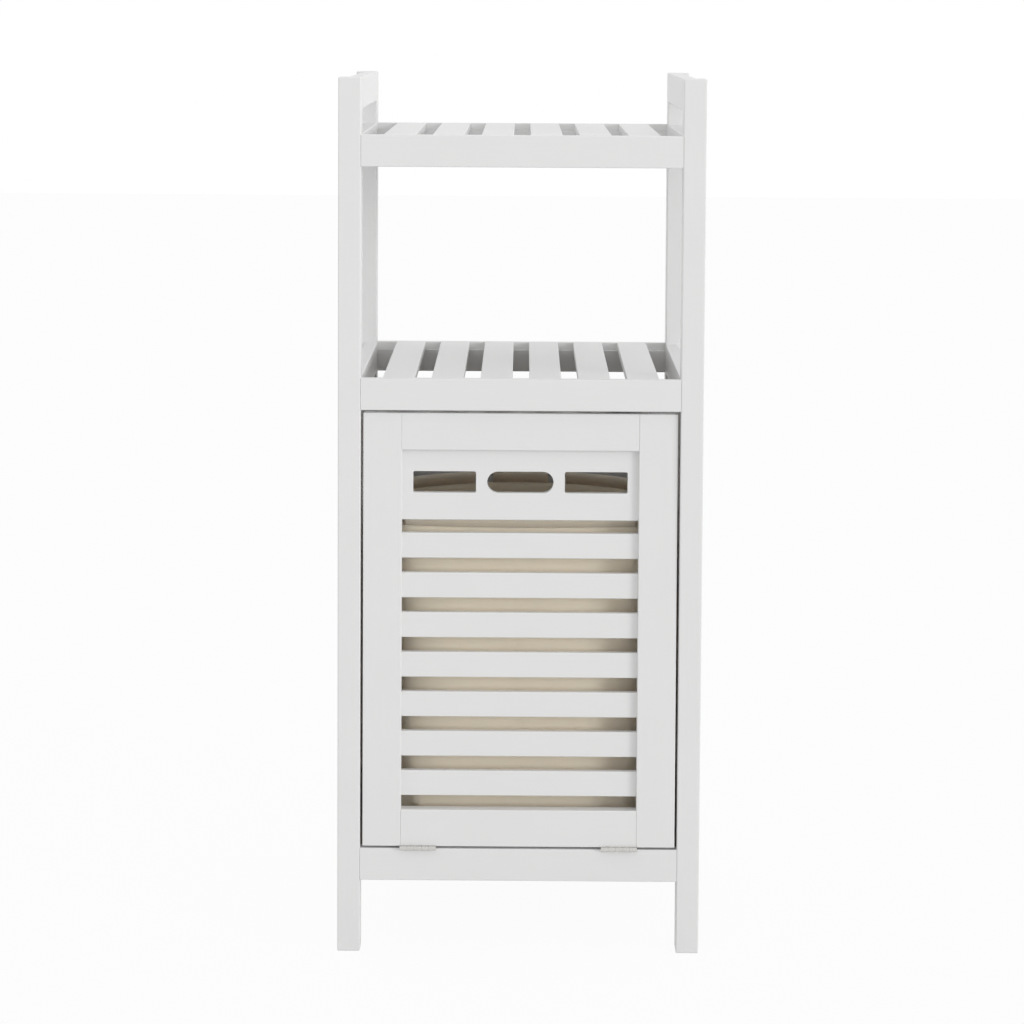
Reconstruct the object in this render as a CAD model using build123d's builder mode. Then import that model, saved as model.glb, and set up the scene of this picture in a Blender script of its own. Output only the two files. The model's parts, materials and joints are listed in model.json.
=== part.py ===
from build123d import *
from math import asin, atan2, cos, degrees, hypot, sin, sqrt
import os

os.makedirs("parts", exist_ok=True)

# Laundry hamper cabinet: four square posts, two open slatted shelves, and a closed bay below them whose
# slatted door tilts out on two butt hinges. A fabric bag hangs behind the door from a bent steel hoop.
# Millimetres, +Z up, the door faces -Y, and the origin is the middle of the footprint on the floor.

# Overall size, over the posts
cabinet_width = 400.0
cabinet_depth = 330.0
cabinet_height = 968.0

# Posts and rails
post_size = 25.0
post_round = 1.5
rail_thickness = 15.0
rail_height = 35.0
bottom_rail_height = 36.0
bottom_rail_z = 80.5
middle_rail_z = 604.3
upper_rail_z = 870.8
edge_round = 1.0
side_tenon_length = 8.0
side_tenon_thickness = 7.0
side_tenon_inset = 5.0

# Shelves: flat slats seated in rebates along the front and rear rails
shelf_slat_count = 6
shelf_slat_width = 35.0
shelf_slat_pitch = 53.6
shelf_slat_thickness = 9.0
rebate_width = 6.0

# Thin panels that close the bay
panel_thickness = 5.0
groove_depth = 6.0
panel_play = 1.0
back_panel_top_z = 590.0
floor_panel_z = 92.0
floor_notch_play = 0.5

# Door: a frame of two stiles and two rails round a cut-out board and seven slats
door_gap = 2.6
hinge_gap = 2.5
door_height = 482.0
door_thickness = 15.0
door_set_back = 5.0
stile_width = 42.4
door_top_rail_height = 41.0
door_bottom_rail_height = 41.0
board_height = 78.0
door_infill_thickness = 8.0
door_infill_recess = 6.0
door_tongue = 6.0
door_slat_count = 7
door_slat_height = 28.0
door_slat_pitch = 44.2
door_tenon_length = 10.0
door_tenon_thickness = 7.0
door_tenon_inset = 6.0

# Cut-outs in the board: a stadium between two rectangles
cutout_height = 23.6
cutout_rise = 41.9
stadium_length = 72.8
rectangle_length = 69.0
cutout_bridge = 12.4
cutout_corner = 2.0

# Butt hinges, lying flat in the gap under the door
hinge_length = 40.0
hinge_x = 111.0
hinge_reach = 2.6
knuckle_radius = 2.6
knuckle_count = 5
knuckle_gap = 0.3
pin_radius = 1.2
pin_end_chamfer = 0.3
running_clearance = 0.05
leaf_thickness = 0.95
leaf_depth = 12.5
leaf_corner = 1.0
leaf_screw_spacing = 24.0
leaf_screw_depth = 7.5

# Small countersunk wood screws, all alike
screw_length = 12.0
screw_radius = 1.5
screw_head_radius = 2.5
screw_head_height = 0.95

# How far a through hole is cut past the far face
overrun = 1.0

# Connector screws and dowels that hold the cross rails between the side frames
connector_length = 50.0
connector_head_radius = 5.0
connector_head_height = 1.5
connector_neck_radius = 3.5
connector_core_radius = 2.5
connector_socket = 4.0
connector_socket_depth = 3.0
connector_rise = 20.0
dowel_radius = 3.0
dowel_length = 30.0
dowel_in_post = 12.0
dowel_rise = 7.0

# Magnetic catch behind the middle front rail, and its plate on the door
catch_x = 110.0
catch_width = 34.0
catch_low_z = 588.0
catch_shelf_z = 602.6
catch_arm_thickness = 3.4
catch_top_z = 627.0
catch_back_y = 37.0
catch_front_y = 21.9
catch_round = 1.5
catch_screw_spacing = 22.0
catch_screw_z = 617.0
magnet_width = 22.0
magnet_height = 8.0
magnet_depth = 10.0
pole_thickness = 1.5
pole_stand = 0.4
strike_width = 34.0
strike_height = 12.0
strike_thickness = 1.0
strike_screw_spacing = 26.0

# Bag hoop: a bent steel rod, two brackets that hold it to the stiles and two stop tabs at the rear
rod_radius = 2.5
rim_z = 482.0
hoop_half_width = 146.0
hoop_front = 31.5
hoop_rear = 300.0
hoop_front_corner = 22.0
hoop_side_corner = 45.0
hoop_rear_radius = 197.2
bracket_inner_x = 139.0
bracket_length = 26.0
bracket_height = 22.0
bracket_web_height = 14.0
bracket_thickness = 2.0
bracket_reach = 24.0
bracket_screw_x = 155.0
bracket_screw_spacing = 14.0
tab_x = 45.0
tab_width = 12.0
tab_thickness = 2.0
tab_top_z = 509.9

# Bag: a tapered sack with a hem that the hoop runs through
bag_wall = 2.0
bag_floor_z = 128.0
bag_taper = 8.0
hem_radius = 4.5
hem_bore_radius = 2.7
hem_sides = 8
hem_notch = 18.0
bracket_notch_y = 39.5

# Places worked out from the sizes above
SIDES = (("left", -1), ("right", 1))
front_y = (hinge_reach + knuckle_radius - cabinet_depth) / 2
rear_y = front_y + cabinet_depth
inner_x = cabinet_width / 2 - post_size
inner_width = 2 * inner_x
post_x = cabinet_width / 2 - post_size / 2
side_rail_x = inner_x + rail_thickness / 2
side_rail_length = cabinet_depth - 2 * post_size
top_rail_z = cabinet_height - rail_height
bottom_rail_top = bottom_rail_z + bottom_rail_height
door_width = inner_width - 2 * door_gap
opening_width = door_width - 2 * stile_width

SIDE_RAILS = {
    "top": (top_rail_z, rail_height),
    "upper": (upper_rail_z, rail_height),
    "middle": (middle_rail_z, rail_height),
    "bottom": (bottom_rail_z, bottom_rail_height),
}
CROSS_RAILS = {
    "upper": (upper_rail_z, rail_height),
    "middle": (middle_rail_z, rail_height),
    "bottom": (bottom_rail_z, bottom_rail_height),
}
# Each end of the cabinet: its face, the direction into the cabinet, and the middle of its cross rails
ENDS = {
    "front": (front_y, 1, front_y + rail_thickness / 2),
    "rear": (rear_y, -1, rear_y - rail_thickness / 2),
}


# One small countersunk wood screw, its head's flat top at the origin, pointing down
with BuildPart() as wood_screw:
    with BuildSketch(Plane.XZ):
        with BuildLine():
            Polyline(
                (0, 0),
                (screw_head_radius, 0),
                (screw_radius, -screw_head_height),
                (screw_radius, -screw_length + 2 * screw_radius),
                (0, -screw_length),
                close=True,
            )
        make_face()
    revolve(axis=Axis.Z)

# One connector screw, its head's flat top at the origin, pointing down, with a hexagon socket
with BuildPart() as connector_screw:
    with BuildSketch(Plane.XZ):
        with BuildLine():
            Polyline(
                (0, 0),
                (connector_head_radius, 0),
                (connector_neck_radius, -connector_head_height),
                (connector_neck_radius, -post_size),
                (connector_core_radius, -post_size),
                (connector_core_radius, -connector_length + connector_core_radius),
                (0, -connector_length),
                close=True,
            )
        make_face()
    revolve(axis=Axis.Z)
    with BuildSketch(Plane.XY):
        RegularPolygon(connector_socket / 2, 6, major_radius=False)
    extrude(amount=-connector_socket_depth, mode=Mode.SUBTRACT)


def hoop_loop(inset):
    """The hoop's plan as a closed wire at z = 0: a straight front, straight sides and a bowed rear."""
    half_width = hoop_half_width - inset
    front = front_y + hoop_front + inset
    front_corner = hoop_front_corner - inset
    side_corner = hoop_side_corner - inset
    rear_radius = hoop_rear_radius - inset
    rear_centre = front_y + hoop_rear - hoop_rear_radius
    blend_x = hoop_half_width - hoop_side_corner
    blend_rise = sqrt((hoop_rear_radius - hoop_side_corner) ** 2 - blend_x**2)
    blend_angle = degrees(atan2(blend_rise, blend_x))
    with BuildLine() as loop:
        run = Line((0, front), (half_width - front_corner, front))
        corner = JernArc(run @ 1, run % 1, front_corner, 90)
        side = Line(corner @ 1, (half_width, rear_centre + blend_rise))
        blend = JernArc(side @ 1, side % 1, side_corner, blend_angle)
        JernArc(blend @ 1, blend % 1, rear_radius, 90 - blend_angle)
        mirror(about=Plane.YZ)
    return loop.wire()


def rear_arc_y(x):
    """How far back the hoop's bowed rear run lies at a distance x from the middle."""
    return front_y + hoop_rear - hoop_rear_radius + sqrt(hoop_rear_radius**2 - x**2)


# Places of the connector screws and dowels, as locations whose Z axis points out of the post
connector_places = []
dowel_places = []
for end, (face_y, inward, rail_y) in ENDS.items():
    for side, sign in SIDES:
        for level, (low_z, height) in CROSS_RAILS.items():
            outer = (sign * cabinet_width / 2, rail_y, low_z + connector_rise)
            inner = (sign * inner_x, rail_y, low_z + dowel_rise)
            connector_places.append(Plane(origin=outer, z_dir=(sign, 0, 0)).location)
            dowel_places.append(Plane(origin=inner, z_dir=(sign, 0, 0)).location)

# Posts, with mortises for the side rails, grooves for the panels and holes for the cross rails
for end, (face_y, inward, rail_y) in ENDS.items():
    middle_y = face_y + inward * post_size / 2
    inner_face_y = face_y + inward * post_size
    for side, sign in SIDES:
        with BuildPart() as post:
            with BuildSketch(Plane.XY):
                with Locations((sign * post_x, middle_y)):
                    Rectangle(post_size, post_size)
            extrude(amount=cabinet_height)
            fillet(post.edges(), post_round)
            for low_z, height in SIDE_RAILS.values():
                with BuildSketch(Plane.XY.offset(low_z + side_tenon_inset)):
                    with Locations((sign * side_rail_x, inner_face_y - inward * side_tenon_length / 2)):
                        Rectangle(side_tenon_thickness, side_tenon_length)
                extrude(amount=height - 2 * side_tenon_inset, mode=Mode.SUBTRACT)
            with BuildSketch(Plane.XY.offset(bottom_rail_top - groove_depth)):
                with Locations((sign * side_rail_x, inner_face_y - inward * groove_depth / 2)):
                    Rectangle(panel_thickness, groove_depth)
            extrude(amount=middle_rail_z - bottom_rail_top + 2 * groove_depth, mode=Mode.SUBTRACT)
            if end == "rear":
                with BuildSketch(Plane.XY.offset(bottom_rail_top - groove_depth)):
                    with Locations((sign * (inner_x + groove_depth / 2), rail_y)):
                        Rectangle(groove_depth, panel_thickness)
                extrude(amount=back_panel_top_z - bottom_rail_top + groove_depth, mode=Mode.SUBTRACT)
            for low_z, height in CROSS_RAILS.values():
                outer = (sign * cabinet_width / 2, rail_y, low_z + connector_rise)
                with Locations(Plane(origin=outer, z_dir=(sign, 0, 0))):
                    CounterSinkHole(connector_neck_radius, connector_head_radius, depth=post_size + overrun)
                inner = (sign * inner_x, rail_y, low_z + dowel_rise)
                with Locations(Plane(origin=inner, z_dir=(-sign, 0, 0))):
                    Hole(dowel_radius, depth=dowel_in_post)
        post.part.label = f"post_{end}_{side}"
        export_step(post.part, f"parts/post_{end}_{side}.step")

# Side rails, tenoned into the posts, their inner faces flush with the posts' inner faces
for level, (low_z, height) in SIDE_RAILS.items():
    for side, sign in SIDES:
        with BuildPart() as side_rail:
            with BuildSketch(Plane.XZ.offset(-front_y - post_size)):
                with Locations((sign * side_rail_x, low_z + height / 2)):
                    RectangleRounded(rail_thickness, height, edge_round)
            extrude(amount=-side_rail_length)
            with BuildSketch(Plane.XZ.offset(-front_y - post_size + side_tenon_length)):
                with Locations((sign * side_rail_x, low_z + height / 2)):
                    Rectangle(side_tenon_thickness, height - 2 * side_tenon_inset)
            extrude(amount=-side_rail_length - 2 * side_tenon_length)
            if level == "bottom":
                with BuildSketch(Plane.XY.offset(bottom_rail_top)):
                    with Locations((sign * side_rail_x, (front_y + rear_y) / 2)):
                        Rectangle(panel_thickness, side_rail_length + 2 * side_tenon_length)
                extrude(amount=-groove_depth, mode=Mode.SUBTRACT)
                with BuildSketch(Plane.XY.offset(floor_panel_z)):
                    with Locations((sign * (inner_x + panel_thickness / 2), (front_y + rear_y) / 2)):
                        Rectangle(panel_thickness, side_rail_length)
                extrude(amount=panel_thickness, mode=Mode.SUBTRACT)
            if level == "middle":
                with BuildSketch(Plane.XY.offset(middle_rail_z)):
                    with Locations((sign * side_rail_x, (front_y + rear_y) / 2)):
                        Rectangle(panel_thickness, side_rail_length + 2 * side_tenon_length)
                extrude(amount=groove_depth, mode=Mode.SUBTRACT)
        side_rail.part.label = f"side_rail_{level}_{side}"
        export_step(side_rail.part, f"parts/side_rail_{level}_{side}.step")

# Cross rails: front and rear at three levels, flush with the posts' outer faces
for end, (face_y, inward, rail_y) in ENDS.items():
    inner_face_y = face_y + inward * rail_thickness
    for level, (low_z, height) in CROSS_RAILS.items():
        with BuildPart() as cross_rail:
            with BuildSketch(Plane.YZ.offset(-inner_x)):
                with Locations((rail_y, low_z + height / 2)):
                    RectangleRounded(rail_thickness, height, edge_round)
                if level != "bottom":
                    rebate_y = inner_face_y - inward * rebate_width / 2
                    with Locations((rebate_y, low_z + height - shelf_slat_thickness / 2)):
                        Rectangle(rebate_width, shelf_slat_thickness, mode=Mode.SUBTRACT)
                if level == "bottom":
                    groove_y = inner_face_y - inward * panel_thickness / 2
                    with Locations((groove_y, floor_panel_z + panel_thickness / 2)):
                        Rectangle(panel_thickness, panel_thickness, mode=Mode.SUBTRACT)
                if level == "bottom" and end == "rear":
                    with Locations((rail_y, low_z + height - groove_depth / 2)):
                        Rectangle(panel_thickness, groove_depth, mode=Mode.SUBTRACT)
            extrude(amount=inner_width)
            for side, sign in SIDES:
                connector_hole = (sign * inner_x, rail_y, low_z + connector_rise)
                with Locations(Plane(origin=connector_hole, z_dir=(sign, 0, 0))):
                    Hole(connector_core_radius, depth=connector_length - post_size)
                dowel_hole = (sign * inner_x, rail_y, low_z + dowel_rise)
                with Locations(Plane(origin=dowel_hole, z_dir=(sign, 0, 0))):
                    Hole(dowel_radius, depth=dowel_length - dowel_in_post)
            if level == "bottom" and end == "front":
                for hinge_sign in (-1, 1):
                    for step in (-1, 1):
                        x = hinge_sign * hinge_x + step * leaf_screw_spacing / 2
                        place = (x, front_y + leaf_screw_depth, bottom_rail_top)
                        with Locations(Plane(origin=place, z_dir=(0, 0, 1))):
                            Hole(screw_radius, depth=screw_length - leaf_thickness)
            if level == "middle" and end == "front":
                for step in (-1, 1):
                    x = catch_x + step * catch_screw_spacing / 2
                    with Locations(Plane(origin=(x, inner_face_y, catch_screw_z), z_dir=(0, 1, 0))):
                        Hole(screw_radius, depth=screw_length - catch_arm_thickness)
        cross_rail.part.label = f"{end}_rail_{level}"
        export_step(cross_rail.part, f"parts/{end}_rail_{level}.step")

# Shelf slats, front to back, flush with the tops of the cross rails
slat_front_y = front_y + rail_thickness - rebate_width
slat_length = cabinet_depth - 2 * (rail_thickness - rebate_width)
for level, low_z in (("upper", upper_rail_z), ("middle", middle_rail_z)):
    slat_z = low_z + rail_height - shelf_slat_thickness / 2
    for index in range(shelf_slat_count):
        slat_x = (index - (shelf_slat_count - 1) / 2) * shelf_slat_pitch
        with BuildPart() as shelf_slat:
            with BuildSketch(Plane.XZ.offset(-slat_front_y)):
                with Locations((slat_x, slat_z)):
                    RectangleRounded(shelf_slat_width, shelf_slat_thickness, edge_round)
            extrude(amount=-slat_length)
        shelf_slat.part.label = f"{level}_shelf_slat_{index + 1}"
        export_step(shelf_slat.part, f"parts/{level}_shelf_slat_{index + 1}.step")

# Side panels, held in grooves all round
side_panel_low = bottom_rail_top - groove_depth
side_panel_height = middle_rail_z - bottom_rail_top + 2 * groove_depth - panel_play
for side, sign in SIDES:
    with BuildPart() as side_panel:
        with BuildSketch(Plane.XY.offset(side_panel_low)):
            with Locations((sign * side_rail_x, (front_y + rear_y) / 2)):
                Rectangle(panel_thickness, side_rail_length + 2 * groove_depth - panel_play)
        extrude(amount=side_panel_height)
    side_panel.part.label = f"side_panel_{side}"
    export_step(side_panel.part, f"parts/side_panel_{side}.step")

# Back panel, held in grooves in the rear posts and the rear bottom rail, its top edge free
with BuildPart() as back_panel:
    with BuildSketch(Plane.XY.offset(bottom_rail_top - groove_depth)):
        with Locations((0, ENDS["rear"][2])):
            Rectangle(inner_width + 2 * groove_depth - panel_play, panel_thickness)
    extrude(amount=back_panel_top_z - bottom_rail_top + groove_depth)
back_panel.part.label = "back_panel"
export_step(back_panel.part, "parts/back_panel.step")

# Floor panel, in grooves in the four bottom rails, its corners notched round the posts
floor_panel_depth = cabinet_depth - 2 * (rail_thickness - panel_thickness)
notch_width = panel_thickness + floor_notch_play
notch_depth = post_size - rail_thickness + panel_thickness + floor_notch_play
with BuildPart() as floor_panel:
    with BuildSketch(Plane.XY.offset(floor_panel_z)):
        with Locations((0, (front_y + rear_y) / 2)):
            Rectangle(inner_width + 2 * panel_thickness, floor_panel_depth)
            with GridLocations(
                inner_width + 2 * panel_thickness - notch_width, floor_panel_depth - notch_depth, 2, 2
            ):
                Rectangle(notch_width, notch_depth, mode=Mode.SUBTRACT)
    extrude(amount=panel_thickness)
floor_panel.part.label = "floor_panel"
export_step(floor_panel.part, "parts/floor_panel.step")

# Connector screws, one at each end of each cross rail
with BuildPart() as connector_screws:
    with Locations(*connector_places):
        add(connector_screw.part)
connector_screws.part.label = "connector_screws"
export_step(connector_screws.part, "parts/connector_screws.step")

# Dowels, below the connector screws
with BuildPart() as dowels:
    with Locations(*dowel_places):
        with Locations((0, 0, dowel_in_post - dowel_length / 2)):
            Cylinder(dowel_radius, dowel_length)
dowels.part.label = "dowels"
export_step(dowels.part, "parts/dowels.step")

# Planes of the door. It leans back a little when shut: its foot is flush with the posts and its top stands
# behind them. Local x runs along the hinge axis, local y up the door, local z out of its front.
hinge_y = front_y - hinge_reach
hinge_z = bottom_rail_top + hinge_gap / 2
door_lean = asin(door_set_back / door_height)
door_up = Vector(0, sin(door_lean), cos(door_lean))
door_out = Vector(0, -cos(door_lean), sin(door_lean))
hinge_point = Vector(0, hinge_y, hinge_z)
door_plane = Plane(origin=hinge_point, x_dir=(1, 0, 0), z_dir=door_out)
door_face = door_plane.offset(-hinge_reach)
door_back = door_face.offset(-door_thickness)
infill_face = door_face.offset(-door_infill_recess)
door_low = hinge_gap / 2
door_high = door_low + door_height
bottom_rail_high = door_low + door_bottom_rail_height
top_rail_low = door_high - door_top_rail_height
board_low = top_rail_low - board_height
board_middle = board_low + (board_height + door_tongue) / 2
slat_run = (door_slat_count - 1) * door_slat_pitch + door_slat_height
first_slat_low = (bottom_rail_high + board_low - slat_run) / 2
slat_middles = [
    first_slat_low + door_slat_height / 2 + index * door_slat_pitch for index in range(door_slat_count)
]
door_rails = {
    "bottom": (door_low, door_bottom_rail_height),
    "top": (top_rail_low, door_top_rail_height),
}
tenon_face = door_face.offset(-(door_thickness - door_tenon_thickness) / 2)
bracket_middle = rim_z - hinge_z
strike_middle = (catch_low_z + catch_shelf_z) / 2 - hinge_z

# Places of the screws on the door, as locations whose Z axis points out of the head
door_screw_places = []
for side, sign in SIDES:
    for step in (-1, 1):
        x = sign * hinge_x + step * leaf_screw_spacing / 2
        leaf_screw = door_face.from_local_coords(Vector(x, door_low - leaf_thickness, -leaf_screw_depth))
        door_screw_places.append(Plane(origin=leaf_screw, x_dir=(1, 0, 0), z_dir=door_up * -1).location)
    for step in (-1, 1):
        x = sign * bracket_screw_x
        height = bracket_middle + step * bracket_screw_spacing / 2
        bracket_screw = door_back.from_local_coords(Vector(x, height, -bracket_thickness))
        door_screw_places.append(Plane(origin=bracket_screw, x_dir=(1, 0, 0), z_dir=door_out * -1).location)
for step in (-1, 1):
    x = catch_x + step * strike_screw_spacing / 2
    strike_screw = door_back.from_local_coords(Vector(x, strike_middle, -strike_thickness))
    door_screw_places.append(Plane(origin=strike_screw, x_dir=(1, 0, 0), z_dir=door_out * -1).location)

with BuildPart() as door_screws:
    with Locations(*door_screw_places):
        add(wood_screw.part)
door_screws.part.label = "door_screws"
export_step(door_screws.part, "parts/door_screws.step")

# Door stiles, with mortises for the rails, the board and every slat
for side, sign in SIDES:
    with BuildPart() as door_stile:
        with BuildSketch(door_face):
            with Locations((sign * (door_width - stile_width) / 2, (door_low + door_high) / 2)):
                Rectangle(stile_width, door_height)
        extrude(amount=-door_thickness)
        fillet(door_stile.edges(), edge_round)
        with BuildSketch(tenon_face):
            for low, height in door_rails.values():
                with Locations((sign * (opening_width + door_tenon_length) / 2, low + height / 2)):
                    Rectangle(door_tenon_length, height - 2 * door_tenon_inset)
        extrude(amount=-door_tenon_thickness, mode=Mode.SUBTRACT)
        with BuildSketch(infill_face):
            for middle in slat_middles:
                with Locations((sign * (opening_width + door_tongue) / 2, middle)):
                    Rectangle(door_tongue, door_slat_height)
            with Locations((sign * (opening_width + door_tongue) / 2, board_middle)):
                Rectangle(door_tongue, board_height + door_tongue)
        extrude(amount=-door_infill_thickness, mode=Mode.SUBTRACT)
        with Locations(*door_screw_places):
            with Locations((0, 0, -screw_length / 2)):
                Cylinder(screw_radius, screw_length, mode=Mode.SUBTRACT)
    door_stile.part.label = f"door_stile_{side}"
    export_step(door_stile.part, f"parts/door_stile_{side}.step")

# Door rails, tenoned into the stiles
for level, (low, height) in door_rails.items():
    with BuildPart() as door_rail:
        with BuildSketch(door_face):
            with Locations((0, low + height / 2)):
                Rectangle(opening_width, height)
        extrude(amount=-door_thickness)
        fillet(door_rail.edges().filter_by(Axis.X), edge_round)
        with BuildSketch(tenon_face):
            with Locations((0, low + height / 2)):
                Rectangle(opening_width + 2 * door_tenon_length, height - 2 * door_tenon_inset)
        extrude(amount=-door_tenon_thickness)
        if level == "top":
            with BuildSketch(infill_face):
                with Locations((0, low + door_tongue / 2)):
                    Rectangle(opening_width + 2 * door_tenon_length, door_tongue)
            extrude(amount=-door_infill_thickness, mode=Mode.SUBTRACT)
        with Locations(*door_screw_places):
            with Locations((0, 0, -screw_length / 2)):
                Cylinder(screw_radius, screw_length, mode=Mode.SUBTRACT)
    door_rail.part.label = f"door_rail_{level}"
    export_step(door_rail.part, f"parts/door_rail_{level}.step")

# Cut-out board, its top edge in the top rail's groove and its ends in the stiles
with BuildPart() as door_cutout_board:
    with BuildSketch(infill_face):
        with Locations((0, board_middle)):
            Rectangle(opening_width + 2 * door_tongue, board_height + door_tongue)
        with Locations((0, board_low + cutout_rise)):
            SlotOverall(stadium_length, cutout_height, mode=Mode.SUBTRACT)
            with GridLocations(stadium_length + rectangle_length + 2 * cutout_bridge, 0, 2, 1):
                RectangleRounded(rectangle_length, cutout_height, cutout_corner, mode=Mode.SUBTRACT)
    extrude(amount=-door_infill_thickness)
    board_front = door_cutout_board.faces().sort_by(Axis.Y)[0]
    cutout_edges = [edge for wire in board_front.inner_wires() for edge in wire.edges()]
    fillet(cutout_edges, edge_round / 2)
    fillet(door_cutout_board.edges().filter_by(Axis.X).sort_by(Axis.Z)[0:2], edge_round)
door_cutout_board.part.label = "door_cutout_board"
export_step(door_cutout_board.part, "parts/door_cutout_board.step")

# Door slats, one above the other between the stiles
for index, middle in enumerate(slat_middles):
    with BuildPart() as door_slat:
        with BuildSketch(infill_face):
            with Locations((0, middle)):
                Rectangle(opening_width + 2 * door_tongue, door_slat_height)
        extrude(amount=-door_infill_thickness)
        fillet(door_slat.edges().filter_by(Axis.X), edge_round)
    door_slat.part.label = f"door_slat_{index + 1}"
    export_step(door_slat.part, f"parts/door_slat_{index + 1}.step")

# Hinge leaves: a plate with screw holes, and every other knuckle of the barrel
knuckle_pitch = hinge_length / knuckle_count
plate_start = knuckle_radius + knuckle_gap
hinge_front_end = hinge_reach + leaf_depth
upright_plane = Plane(origin=hinge_point, x_dir=(1, 0, 0), z_dir=(0, -1, 0))
LEAVES = {
    "cabinet": (upright_plane, -hinge_gap / 2, 0, range(0, knuckle_count, 2), pin_radius, 0.0),
    "door": (
        door_plane,
        hinge_gap / 2 - leaf_thickness,
        1,
        range(1, knuckle_count, 2),
        pin_radius + running_clearance,
        knuckle_gap,
    ),
}
for body, (plane, plate_low, face_up, knuckles, bore, gap) in LEAVES.items():
    for side, sign in SIDES:
        with BuildPart() as hinge_leaf:
            plate_middle = (plate_start + hinge_front_end) / 2
            plan = Plane(
                origin=plane.from_local_coords(Vector(sign * hinge_x, plate_low, -plate_middle)),
                x_dir=(1, 0, 0),
                z_dir=plane.y_dir,
            )
            with BuildSketch(plan):
                Rectangle(hinge_length, hinge_front_end - plate_start)
            extrude(amount=leaf_thickness)
            upright_edges = hinge_leaf.edges().filter_by(Axis(hinge_point, plane.y_dir))
            fillet(upright_edges.sort_by(Axis.Y)[-2:], leaf_corner)
            for index in knuckles:
                start_x = sign * hinge_x - hinge_length / 2 + index * knuckle_pitch + gap
                start = plane.from_local_coords(Vector(start_x, 0, 0))
                profile = Plane(origin=start, x_dir=plane.z_dir * -1, z_dir=(1, 0, 0))
                with BuildSketch(profile):
                    with Locations((plate_start / 2, plate_low + leaf_thickness / 2)):
                        Rectangle(plate_start, leaf_thickness)
                    Circle(knuckle_radius)
                    Circle(bore, mode=Mode.SUBTRACT)
                extrude(amount=knuckle_pitch - 2 * gap)
            head_face = plate_low + (0 if face_up else leaf_thickness)
            for step in (-1, 1):
                x = sign * hinge_x + step * leaf_screw_spacing / 2
                head = plane.from_local_coords(Vector(x, head_face, -hinge_reach - leaf_screw_depth))
                out = plane.y_dir * (-1 if face_up else 1)
                with Locations(Plane(origin=head, x_dir=(1, 0, 0), z_dir=out)):
                    CounterSinkHole(screw_radius, screw_head_radius, depth=leaf_thickness + overrun)
        hinge_leaf.part.label = f"hinge_leaf_{body}_{side}"
        export_step(hinge_leaf.part, f"parts/hinge_leaf_{body}_{side}.step")

# Hinge pins, held in the cabinet leaves' knuckles, with chamfered ends
with BuildPart() as hinge_pins:
    for side, sign in SIDES:
        pin_end = (sign * hinge_x - hinge_length / 2, hinge_y, hinge_z)
        with BuildSketch(Plane(origin=pin_end, z_dir=(1, 0, 0))):
            Circle(pin_radius)
        extrude(amount=hinge_length)
    chamfer(hinge_pins.edges().filter_by(GeomType.CIRCLE), pin_end_chamfer)
hinge_pins.part.label = "hinge_pins"
export_step(hinge_pins.part, "parts/hinge_pins.step")

# Screws of the cabinet's hinge leaves and of the catch
frame_screw_places = []
for side, sign in SIDES:
    for step in (-1, 1):
        x = sign * hinge_x + step * leaf_screw_spacing / 2
        head = (x, front_y + leaf_screw_depth, bottom_rail_top + leaf_thickness)
        frame_screw_places.append(Plane(origin=head, z_dir=(0, 0, 1)).location)
catch_arm_back_y = front_y + rail_thickness + catch_arm_thickness
for step in (-1, 1):
    head = (catch_x + step * catch_screw_spacing / 2, catch_arm_back_y, catch_screw_z)
    frame_screw_places.append(Plane(origin=head, z_dir=(0, 1, 0)).location)
with BuildPart() as frame_screws:
    with Locations(*frame_screw_places):
        add(wood_screw.part)
frame_screws.part.label = "frame_screws"
export_step(frame_screws.part, "parts/frame_screws.step")

# Catch housing: a tongue screwed to the back of the middle front rail carries the magnet's box below it
box_middle_z = (catch_low_z + catch_shelf_z) / 2
with BuildPart() as catch_housing:
    with BuildSketch(Plane.YZ.offset(catch_x - catch_width / 2)):
        with BuildLine():
            Polyline(
                (front_y + rail_thickness, catch_shelf_z),
                (front_y + rail_thickness, catch_top_z),
                (catch_arm_back_y, catch_top_z),
                (catch_arm_back_y, catch_shelf_z + catch_arm_thickness),
                (front_y + catch_back_y, catch_shelf_z + catch_arm_thickness),
                (front_y + catch_back_y, catch_low_z),
                (front_y + catch_front_y, catch_low_z),
                (front_y + catch_front_y, catch_shelf_z),
                close=True,
            )
        make_face()
    extrude(amount=catch_width)
    fillet(catch_housing.edges().filter_by(Axis.Z).group_by(Axis.Z)[-1].sort_by(Axis.Y)[-2:], catch_round)
    with BuildSketch(Plane.XZ.offset(-front_y - catch_front_y)):
        with Locations((catch_x, box_middle_z)):
            Rectangle(magnet_width, magnet_height)
    extrude(amount=-magnet_depth, mode=Mode.SUBTRACT)
    for step in (-1, 1):
        head = (catch_x + step * catch_screw_spacing / 2, catch_arm_back_y, catch_screw_z)
        with Locations(Plane(origin=head, z_dir=(0, 1, 0))):
            CounterSinkHole(screw_radius, screw_head_radius, depth=catch_arm_thickness + overrun)
catch_housing.part.label = "catch_housing"
export_step(catch_housing.part, "parts/catch_housing.step")

# Catch magnet between its two pole plates, whose ends stand a little proud of the housing
with BuildPart() as catch_magnet:
    with BuildSketch(Plane.XZ.offset(-front_y - catch_front_y)):
        with Locations((catch_x, box_middle_z)):
            Rectangle(magnet_width, magnet_height - 2 * pole_thickness)
    extrude(amount=-magnet_depth)
    with BuildSketch(Plane.XZ.offset(-front_y - catch_front_y + pole_stand)):
        with Locations((catch_x, box_middle_z)):
            with GridLocations(0, magnet_height - pole_thickness, 1, 2):
                Rectangle(magnet_width, pole_thickness)
    extrude(amount=-magnet_depth - pole_stand)
catch_magnet.part.label = "catch_magnet"
export_step(catch_magnet.part, "parts/catch_magnet.step")

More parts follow.
